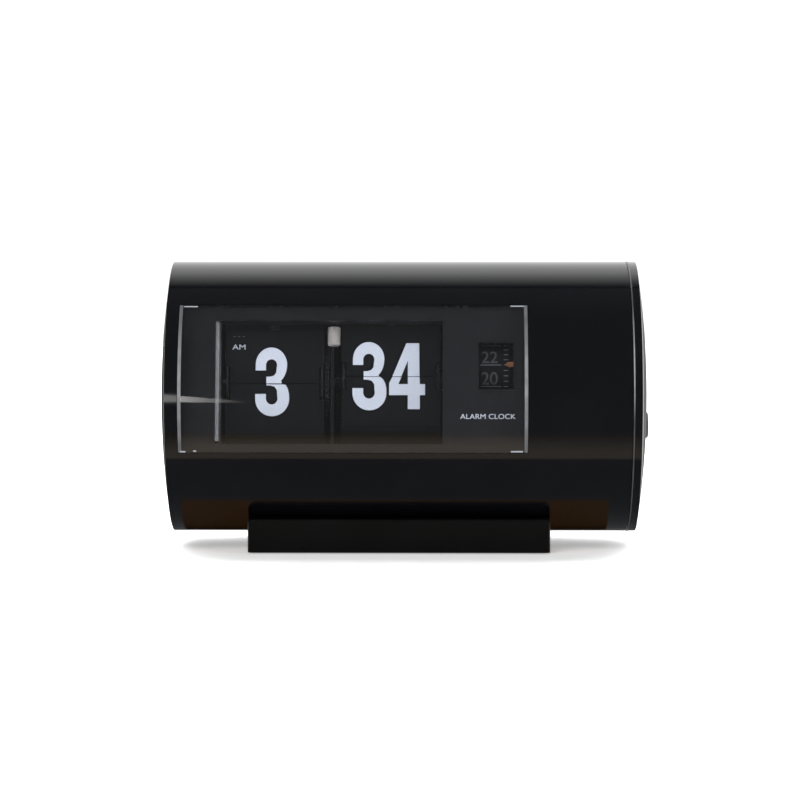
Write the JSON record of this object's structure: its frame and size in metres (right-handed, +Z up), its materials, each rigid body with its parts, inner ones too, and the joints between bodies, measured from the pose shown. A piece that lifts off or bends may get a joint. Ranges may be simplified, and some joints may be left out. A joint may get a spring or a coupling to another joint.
{
  "type": "flip number clock",
  "caption": "Desk clock in a lying black cylinder on a block foot, with falling number leaves for hours and minutes, an alarm drum, rear lamp button, slide switch and battery door.",
  "frame": {"origin": "centre of the foot's underside, where the clock rests", "axes": "+X along the case to the viewer's right, -Y towards the viewer, +Z up"},
  "size_m": [0.1676, 0.0935, 0.098],
  "materials": {
    "black_gloss": "gloss",
    "black_satin": "satin",
    "mask_grey": "satin",
    "clear": "clear",
    "rubber": "matte",
    "steel": "satin",
    "aluminium": "satin",
    "brass": "satin",
    "leaf_black": "matte",
    "white_plastic": "satin",
    "beige_lamp": "frosted",
    "orange": "satin",
    "board_green": "satin",
    "cell_wrap": "gloss"
  },
  "bodies": {
    "case": {"alarm_axle": "steel", "alarm_idler_axle": "steel", "alarm_plate": "aluminium", "alarm_pointer": "orange", "battery_cell": "cell_wrap", "battery_cradle": "black_satin", "battery_plus": "steel", "battery_spring": "steel", "board_parts": "black_satin", "bridge_plate": "aluminium", "button_switch": "black_satin", "buzzer": "black_satin", "cap_screws": "steel", "centre_plate": "black_satin", "circuit_board": "board_green", "face_mask": "mask_grey", "foot": "black_satin", "foot_pad": "rubber", "foot_screws": "steel", "frame_rods": "steel", "front_window": "clear", "hour_retainer": "black_satin", "lamp": "beige_lamp", "lamp_holder": "black_satin", "left_plate": "aluminium", "main_axle": "steel", "minute_retainer": "black_satin", "motor": "steel", "right_end_cap": "black_gloss", "right_plate": "aluminium", "rod_nuts": "steel", "slide_switch": "steel", "spacer_sleeves": "white_plastic", "tube_shell": "black_gloss"},
    "minute_drum": {"minute_drum": "black_satin"},
    "minute_pack": {"minute_leaf_pack": "leaf_black"},
    "minute_flip": {"minute_flip_leaf": "leaf_black"},
    "hour_drum": {"hour_drum": "black_satin"},
    "hour_pack": {"hour_leaf_pack": "leaf_black"},
    "hour_flip": {"hour_flip_leaf": "leaf_black"},
    "hour_idler": {"hour_idler": "white_plastic"},
    "reduction": {"reduction_wheel": "white_plastic"},
    "motor_rotor": {"motor_pinion": "brass"},
    "time_set": {"time_set_shaft": "white_plastic", "time_set_knob": "black_satin"},
    "alarm_set": {"alarm_set_shaft": "white_plastic", "alarm_set_knob": "black_satin"},
    "alarm_drum": {"alarm_drum": "leaf_black"},
    "alarm_idler": {"alarm_idler": "white_plastic"},
    "lamp_button": {"lamp_button": "black_satin"},
    "alarm_slider": {"alarm_slider": "black_satin"},
    "battery_door": {"battery_door": "black_gloss"}
  },
  "joints": [
    {"name": "minute_drum_spin", "type": "hinge", "parent": "case", "child": "minute_drum", "pos_m": [0, -0.01427, 0.05747], "axis": [1, 0, 0], "continuous": true},
    {"name": "minute_pack_hold", "type": "hinge", "parent": "minute_drum", "child": "minute_pack", "pos_m": [0, -0.01427, 0.05747], "axis": [1, 0, 0], "continuous": true},
    {"name": "minute_leaf_flip", "type": "hinge", "parent": "minute_pack", "child": "minute_flip", "pos_m": [0, -0.0249, 0.06031], "axis": [1, 0, 0], "range_deg": [0, 168]},
    {"name": "hour_drum_spin", "type": "hinge", "parent": "case", "child": "hour_drum", "pos_m": [0, -0.01427, 0.05747], "axis": [1, 0, 0], "continuous": true},
    {"name": "hour_pack_hold", "type": "hinge", "parent": "hour_drum", "child": "hour_pack", "pos_m": [0, -0.01427, 0.05747], "axis": [1, 0, 0], "continuous": true},
    {"name": "hour_leaf_flip", "type": "hinge", "parent": "hour_pack", "child": "hour_flip", "pos_m": [0, -0.0252, 0.05871], "axis": [1, 0, 0], "range_deg": [0, 175]},
    {"name": "hour_idler_spin", "type": "hinge", "parent": "case", "child": "hour_idler", "pos_m": [0, -0.00282, 0.05031], "axis": [1, 0, 0], "continuous": true},
    {"name": "reduction_spin", "type": "hinge", "parent": "case", "child": "reduction", "pos_m": [0, -0.00223, 0.07084], "axis": [1, 0, 0], "continuous": true},
    {"name": "motor_spin", "type": "hinge", "parent": "case", "child": "motor_rotor", "pos_m": [0, 0.01245, 0.06773], "axis": [1, 0, 0], "continuous": true},
    {"name": "time_set_spin", "type": "hinge", "parent": "case", "child": "time_set", "pos_m": [0, 0.00596, 0.04114], "axis": [1, 0, 0], "continuous": true},
    {"name": "alarm_drum_spin", "type": "hinge", "parent": "case", "child": "alarm_drum", "pos_m": [0, -0.01803, 0.06044], "axis": [1, 0, 0], "continuous": true},
    {"name": "alarm_idler_spin", "type": "hinge", "parent": "case", "child": "alarm_idler", "pos_m": [0, 0.00586, 0.05816], "axis": [1, 0, 0], "continuous": true},
    {"name": "alarm_set_spin", "type": "hinge", "parent": "case", "child": "alarm_set", "pos_m": [0, 0.02202, 0.04109], "axis": [1, 0, 0], "continuous": true},
    {"name": "lamp_button_press", "type": "slide", "parent": "case", "child": "lamp_button", "axis": [0, -0.766, -0.6428], "range_m": [0, 0.0015], "stiffness_N_per_m": 250},
    {"name": "alarm_slider_slide", "type": "slide", "parent": "case", "child": "alarm_slider", "axis": [1, 0, 0], "range_m": [0, 0.006]},
    {"name": "battery_door_lift", "type": "slide", "parent": "case", "child": "battery_door", "axis": [0, 0.8387, -0.5446], "range_m": [0, 0.02]}
  ],
  "couplings": [
    {"joint": "minute_pack_hold", "follows": "minute_drum_spin", "ratio": -1},
    {"joint": "hour_drum_spin", "follows": "minute_drum_spin", "ratio": 0.041667},
    {"joint": "hour_pack_hold", "follows": "minute_drum_spin", "ratio": -0.041667},
    {"joint": "hour_idler_spin", "follows": "minute_drum_spin", "ratio": -0.25},
    {"joint": "reduction_spin", "follows": "minute_drum_spin", "ratio": -5},
    {"joint": "motor_spin", "follows": "minute_drum_spin", "ratio": 20},
    {"joint": "time_set_spin", "follows": "minute_drum_spin", "ratio": -1.3636},
    {"joint": "alarm_idler_spin", "follows": "alarm_drum_spin", "ratio": -1.1818},
    {"joint": "alarm_set_spin", "follows": "alarm_drum_spin", "ratio": 1.04}
  ]
}
